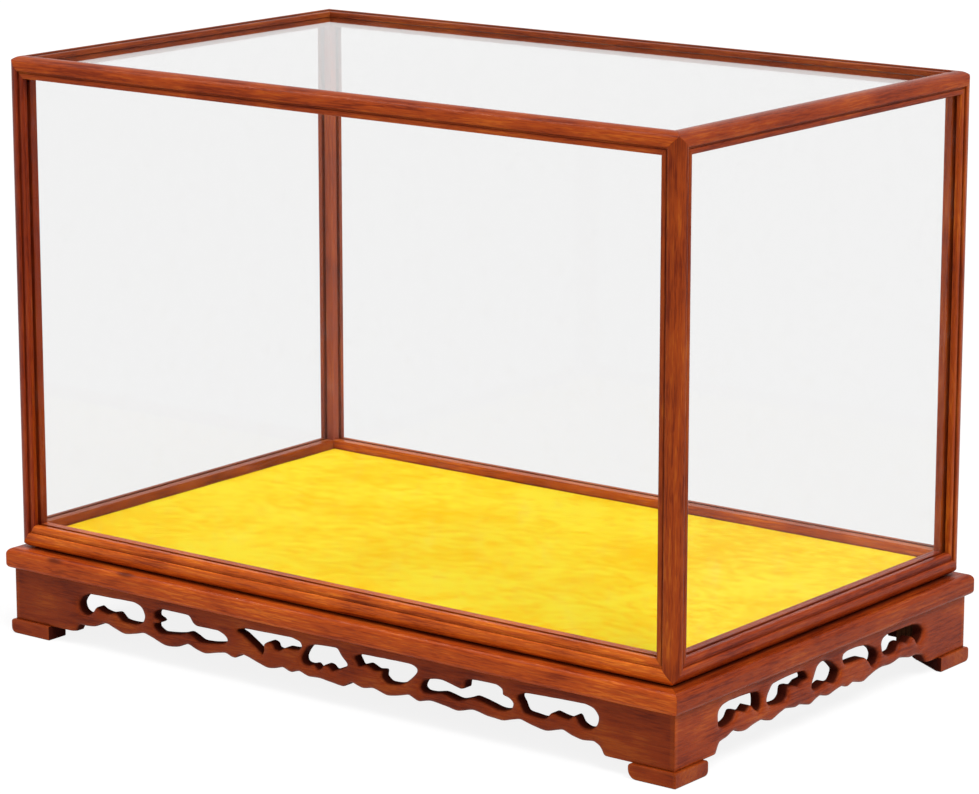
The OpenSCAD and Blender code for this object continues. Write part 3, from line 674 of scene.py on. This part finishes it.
def smooth_path(points, closed):
    """A curve through the points, sampled about every RIM_STEP."""
    count = len(points)
    found = []
    for i in range(count if closed else count - 1):
        if closed:
            p = [points[(i + k) % count] for k in (-1, 0, 1, 2)]
        else:
            p = [points[min(max(i + k, 0), count - 1)] for k in (-1, 0, 1, 2)]
        slope = p[2] - p[0]
        bend = 2 * p[0] - 5 * p[1] + 4 * p[2] - p[3]
        turn = 3 * p[1] - p[0] - 3 * p[2] + p[3]
        steps = max(1, round(float(np.linalg.norm(p[2] - p[1])) / RIM_STEP))
        for t in np.arange(steps) / steps:
            found.append(0.5 * (2 * p[1] + slope * t + bend * t ** 2 + turn * t ** 3))
    return found if closed else found + [points[-1]]


def straight_path(first, last):
    steps = max(1, round(float(np.linalg.norm(last - first)) / (2 * RIM_STEP)))
    return [first + (last - first) * k / steps for k in range(steps)]


def board_rim(loops):
    """The rim points of a board, whether each is carved or sawn, and the ring of each loop."""
    outer = loops[0]
    foot, head = outer[:, 1].min(), outer[:, 1].max()
    plain = (outer[:, 1] < foot + FACE_TOLERANCE) | (outer[:, 1] > head - FACE_TOLERANCE)
    first = next(i for i in range(len(outer)) if plain[i] and not plain[i - 1])
    outer, plain = np.roll(outer, -first, 0), np.roll(plain, -first)
    last = next(i for i in range(len(outer)) if not plain[i]) - 1
    points = []
    for a, b in zip(outer[:last], outer[1:last + 1]):
        points += straight_path(a, b)
    sawn = len(points)
    points += smooth_path(np.vstack([outer[last:], outer[:1]]), False)[:-1]
    rims = [list(range(len(points)))]
    for loop in loops[1:]:
        start = len(points)
        points += smooth_path(loop, True)
        rims.append(list(range(start, len(points))))
    return np.array(points), np.arange(len(points)) >= sawn, rims


def inside(points, rim, rims):
    """Which points lie in the wood."""
    odd = np.zeros(len(points), bool)
    for ring in rims:
        for p, q in zip(rim[ring], np.roll(rim[ring], -1, 0)):
            crosses = (p[1] > points[:, 1]) != (q[1] > points[:, 1])
            with np.errstate(divide="ignore", invalid="ignore"):
                at = p[0] + (points[:, 1] - p[1]) * (q[0] - p[0]) / (q[1] - p[1])
            odd ^= crosses & (points[:, 0] < at)
    return odd


def gap_to(points, edge):
    """Distance of each point from the nearest of an edge's points."""
    tree = KDTree(len(edge))
    for i, p in enumerate(edge):
        tree.insert((p[0], p[1], 0), i)
    tree.balance()
    return np.array([tree.find((p[0], p[1], 0))[2] for p in points])


def dense(rim, rims, keep):
    """The kept stretches of the rim, sampled finely enough to measure from."""
    found = []
    for ring in rims:
        for i, j in around(ring):
            if keep[i]:
                found += [rim[i] + (rim[j] - rim[i]) * t for t in (0, 0.2, 0.4, 0.6, 0.8)]
    return np.array(found)


def inner_points(rim, carved, rims):
    """Rows that follow the rim, then an even grid over the rest."""
    rows = []
    carved_edge, sawn_edge = dense(rim, rims, carved), dense(rim, rims, ~carved)
    for ring in rims:
        here = rim[ring]
        run = np.roll(here, -1, 0) - np.roll(here, 1, 0)
        run /= np.linalg.norm(run, axis=1)[:, None]
        side = np.stack([-run[:, 1], run[:, 0]], 1)
        for kind, offsets in ((True, CARVED_ROWS), (False, SAWN_ROWS)):
            chosen = carved[ring] == kind
            for offset in offsets:
                row = (here + side * offset)[chosen]
                gap = np.minimum(gap_to(row, carved_edge), gap_to(row, sawn_edge))
                rows.append(row[gap > ROW_SHARE * offset])
    low, high = rim.min(0), rim.max(0)
    across = np.arange(low[0] + GRID_STEP / 2, high[0], GRID_STEP)
    upward = np.arange(low[1] + GRID_STEP / 2, high[1], GRID_STEP)
    shift = (0, GRID_STEP / 2)
    grid = np.array([(u + shift[k % 2], w) for k, w in enumerate(upward) for u in across])
    grid = grid[gap_to(grid, carved_edge) > CARVED_ROWS[-1] + GRID_GAP]
    grid = grid[gap_to(grid, sawn_edge) > SAWN_ROWS[-1] + GRID_GAP]
    found = np.vstack(rows + [grid])
    return found[inside(found, rim, rims)], carved_edge, sawn_edge


def eased_depth(gap, radius):
    """How deep a quarter round lies below the face at a distance from the edge."""
    gap = np.clip(gap, 0, radius)
    return radius - np.sqrt(radius ** 2 - (radius - gap) ** 2)


def carved_depth(points, carved_gap, sawn_gap):
    """Depth of the surface below the face: eased edges, a soft pillow and slight tool marks."""
    depth = np.maximum(eased_depth(carved_gap, CARVED_EASE), eased_depth(sawn_gap, SAWN_EASE))
    near = np.clip(1 - carved_gap / PILLOW_REACH, 0, 1)
    near = near * near * (3 - 2 * near)
    places = [Vector((p[0] * MARKS_ALONG, p[1] * MARKS_UP, 0.5)) for p in points]
    marks = np.array([noise.noise(place) for place in places])
    return depth + near * (PILLOW + MARK_DEPTH * marks)


def fill_board(rim, rims, more):
    """Triangles over the wood: corners, faces, and the corner of each point given."""
    points = [Vector(p) for p in np.vstack([rim, more])]
    edges = [pair for ring in rims for pair in around(ring)]
    made = geometry.delaunay_2d_cdt(points, edges, [], 0, CUT_TOLERANCE, True)
    spots = np.array([tuple(p) for p in made[0]])
    faces = np.array([tuple(f) for f in made[2] if len(f) == 3])
    faces = faces[inside(spots[faces].mean(1), rim, rims)]
    corner_of = {source: k for k, sources in enumerate(made[3]) for source in sources}
    return spots, faces, corner_of


def carve_apron(name, out, material):
    """A fretwork board with carved edges, in the place of the plain one."""
    along = UP.cross(out)
    face, loops = outer_face_loops(name, along, out)
    rim, carved, rims = board_rim(loops)
    more, carved_edge, sawn_edge = inner_points(rim, carved, rims)
    spots, faces, corner_of = fill_board(rim, rims, more)
    rims = [[corner_of[k] for k in ring] for ring in rims]
    depth = carved_depth(spots, gap_to(spots, carved_edge), gap_to(spots, sawn_edge))

    low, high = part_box(name)
    thick = abs((high - low) @ out) / MM
    half = np.abs(rim[:, 0]).max()
    bend = half - LEG_SQUEEZE

    def at(spot, deep, squeeze=0.0):
        """A place in the scene, with both ends of the board squeezed and kept in the mitre."""
        reach = abs(spot[0])
        if reach > bend:
            reach = bend + (reach - bend) * (LEG_SQUEEZE - squeeze) / LEG_SQUEEZE
        reach = min(reach, half - deep)
        return (along * math.copysign(reach, spot[0]) + UP * spot[1] + out * (face - deep)) * MM

    count = len(spots)
    corners = [at(p, d) for p, d in zip(spots, depth)] + [at(p, thick, thick) for p in spots]
    walls = [tuple(int(i) for i in f) for f in faces]
    walls += [tuple(int(i) + count for i in reversed(f)) for f in faces]
    middle = {}
    for ring in rims:
        for i in ring:
            middle[i] = len(corners)
            deep = (depth[i] + thick) / 2
            corners.append(at(spots[i], deep, deep))
    for ring in rims:
        for i, j in around(ring):
            if i != j:
                walls.append((i, middle[i], middle[j], j))
                walls.append((middle[i], i + count, j + count, middle[j]))

    mesh = bpy.data.meshes.new("carved_" + name)
    mesh.from_pydata(corners, [], walls)
    mesh.materials.append(material)
    mesh.validate()
    mesh.shade_smooth()
    mesh.set_sharp_from_angle(angle=CARVED_SHARP)
    piece = add_object("carved_" + name, mesh)
    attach(piece, "base")
    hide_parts(name)


# Velvet

CLOTH_STEP = 3.0 * MM
CLOTH_SETTLE = 0.35 * MM
CLOTH_RIM_DROP = 0.35 * MM
CLOTH_LIFT = 0.05 * MM
EDGE_WANDER = 0.6 * MM
EDGE_WAVES = 45
EDGE_POWER = 8
RIM_POWER_X, RIM_POWER_Y = 60, 40
CLOTH_SHARP = math.radians(60)


def edge_wander(along, side):
    """How far the cut edge strays at a place along one side."""
    return EDGE_WANDER * noise.noise(Vector((along * EDGE_WAVES, side, 0.3))) * 0.9


def cloth_lumps(x, y):
    """Low swellings of the face, broad ones and fine ones."""
    broad = noise.noise(Vector((x * 28, y * 40, 0)))
    fine = noise.noise(Vector((x * 90, y * 130, 4)))
    return broad * 0.5 + fine * 0.2


def lay_velvet():
    """The cloth glued over the floor board, its cut edges a little uneven."""
    low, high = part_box("velvet_cloth")
    across = round((high.x - low.x) / CLOTH_STEP)
    back = round((high.y - low.y) / CLOTH_STEP)
    edge_x, edge_y = high.x - EDGE_WANDER, high.y - EDGE_WANDER

    upper = []
    for j in range(back + 1):
        for i in range(across + 1):
            u, v = 2 * i / across - 1, 2 * j / back - 1
            x = u * (edge_x + edge_wander(v * edge_y, 5 + u) * abs(u) ** EDGE_POWER)
            y = v * (edge_y + edge_wander(u * edge_x, 9 + v) * abs(v) ** EDGE_POWER)
            rim = max(abs(u) ** RIM_POWER_X, abs(v) ** RIM_POWER_Y)
            settled = CLOTH_SETTLE * (0.55 - 0.5 * cloth_lumps(x, y))
            upper.append((x, y, high.z - settled - CLOTH_RIM_DROP * rim))
    lower = [(x, y, low.z + CLOTH_LIFT) for x, y, _ in upper]

    row = across + 1
    sheet = len(upper)
    faces = []
    for j in range(back):
        for i in range(across):
            a = j * row + i
            faces.append((a, a + 1, a + row + 1, a + row))
            faces.append((sheet + a + row, sheet + a + row + 1, sheet + a + 1, sheet + a))
    border = list(range(across))
    border += [k * row + across for k in range(back)]
    border += [back * row + k for k in range(across, 0, -1)]
    border += [k * row for k in range(back, 0, -1)]
    for a, b in around(border):
        faces.append((a, sheet + a, sheet + b, b))

    mesh = bpy.data.meshes.new("velvet_lining")
    mesh.from_pydata(upper + lower, [], faces)
    mesh.materials.append(yellow_velvet())
    mesh.shade_smooth()
    mesh.set_sharp_from_angle(angle=CLOTH_SHARP)
    cloth = add_object("velvet_lining", mesh)
    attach(cloth, "base")
    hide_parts("velvet_cloth")


# Floor and surroundings

FLOOR_REACH = 12.0
FLOOR_DROP = -0.05 * MM
FLOOR_GLOW = 0.86
FLOOR_SHADED = 0.17
ROOM_LIGHT = 0.46
ROOM_SEEN = 1.0


def seen_directly(s):
    """1 for rays from the camera and for those that mirror or pass through something."""
    rays = s.add("ShaderNodeLightPath").outputs
    indirect = s.sum("MAXIMUM", rays["Is Glossy Ray"], rays["Is Transmission Ray"])
    return s.sum("MAXIMUM", rays["Is Camera Ray"], indirect)


def lay_ground():
    """A plain pale floor that keeps the case's shadow, white from above and clear from below."""
    mesh = bpy.data.meshes.new("studio_floor")
    signs = ((-1, -1), (1, -1), (1, 1), (-1, 1))
    corners = [(x * FLOOR_REACH, y * FLOOR_REACH, FLOOR_DROP) for x, y in signs]
    mesh.from_pydata(corners, [], [(0, 1, 2, 3)])
    material, s, surface, output = new_material("studio floor")
    coordinates = s.add("ShaderNodeTexCoord").outputs["Object"]
    grain = s.clouds(coordinates, (3, 3, 3), detail=2.0)
    colour = s.blend(grain, rgb(0.78, 0.78, 0.78), rgb(0.80, 0.80, 0.80))
    s.feed(surface.inputs["Base Color"], colour)
    surface.inputs["Roughness"].default_value = 1.0
    surface.inputs["Specular IOR Level"].default_value = 0.0
    grey = rgb(FLOOR_SHADED, FLOOR_SHADED, FLOOR_SHADED)
    shaded = s.add("ShaderNodeBsdfDiffuse", {"Color": grey}).outputs[0]
    glow = s.add("ShaderNodeEmission", {"Color": WHITE, "Strength": FLOOR_GLOW}).outputs[0]
    seen = s.add("ShaderNodeAddShader", {0: shaded, 1: glow}).outputs[0]
    shown = s.blend_surfaces(seen_directly(s), surface.outputs[0], seen)
    below = s.add("ShaderNodeNewGeometry").outputs["Backfacing"]
    clear = s.add("ShaderNodeBsdfTransparent", {"Color": WHITE}).outputs[0]
    s.feed(output.inputs["Surface"], s.blend_surfaces(below, shown, clear))
    mesh.materials.append(material)
    floor = add_object("studio_floor", mesh)


def light_room():
    """A white room that shows white and lights softly, and three lamps."""
    world = bpy.data.worlds.new("studio")
    world.use_nodes = True
    world.node_tree.nodes.clear()
    s = Shader(world.node_tree)
    extra = s.sum("MULTIPLY", seen_directly(s), ROOM_SEEN - ROOM_LIGHT)
    strength = s.sum("ADD", extra, ROOM_LIGHT)
    light = s.add("ShaderNodeBackground", {"Color": WHITE, "Strength": strength})
    s.add("ShaderNodeOutputWorld", {"Surface": light.outputs[0]})
    bpy.context.scene.world = world
    for name, (towards, power, width) in SUNS.items():
        add_sun(name, towards, power, width)


# The case, dressed

set_up_camera()

for name, (axis, tone, golden_glow, glass_veil) in BARS.items():
    dress(name, rosewood(name, axis, tone, golden_glow, glass_veil, shade_from_others=0.4), BAR_EASE)
for name, (axis, tone, golden_glow) in CORNICES.items():
    dress(name, rosewood(name, axis, tone, golden_glow, knots=0.75, shade_from_others=0.7), CORNICE_EASE)
for name, (tone, inward) in FEET.items():
    wood = rosewood(name, X, tone, mottle=0.7, knots=0.5, edge_light_and_wear=0.25, inward=inward)
    dress(name, wood, FOOT_EASE, long_only=True)
for name, (axis, tone, out) in APRONS.items():
    wood = rosewood(name, axis, tone, wander=4 * MM, mottle=0.55, edge_light_and_wear=0.2, carved_out=out)
    carve_apron(name, out, wood)
for name, axis in INNER.items():
    dress(name, inner_wood(name, axis), INNER_EASE)

wall_glass = clear_glass("wall glass", 1.14, rgb(0.91, 0.91, 0.91))
for name in WALL_PANES:
    dress(name, wall_glass)
dress("glass_top", clear_glass("top glass", 1.5, rgb(0.82, 0.82, 0.82)))
steel = screw_steel()
for name in SCREWS:
    dress(name, steel)

lay_velvet()
lay_ground()
light_room()
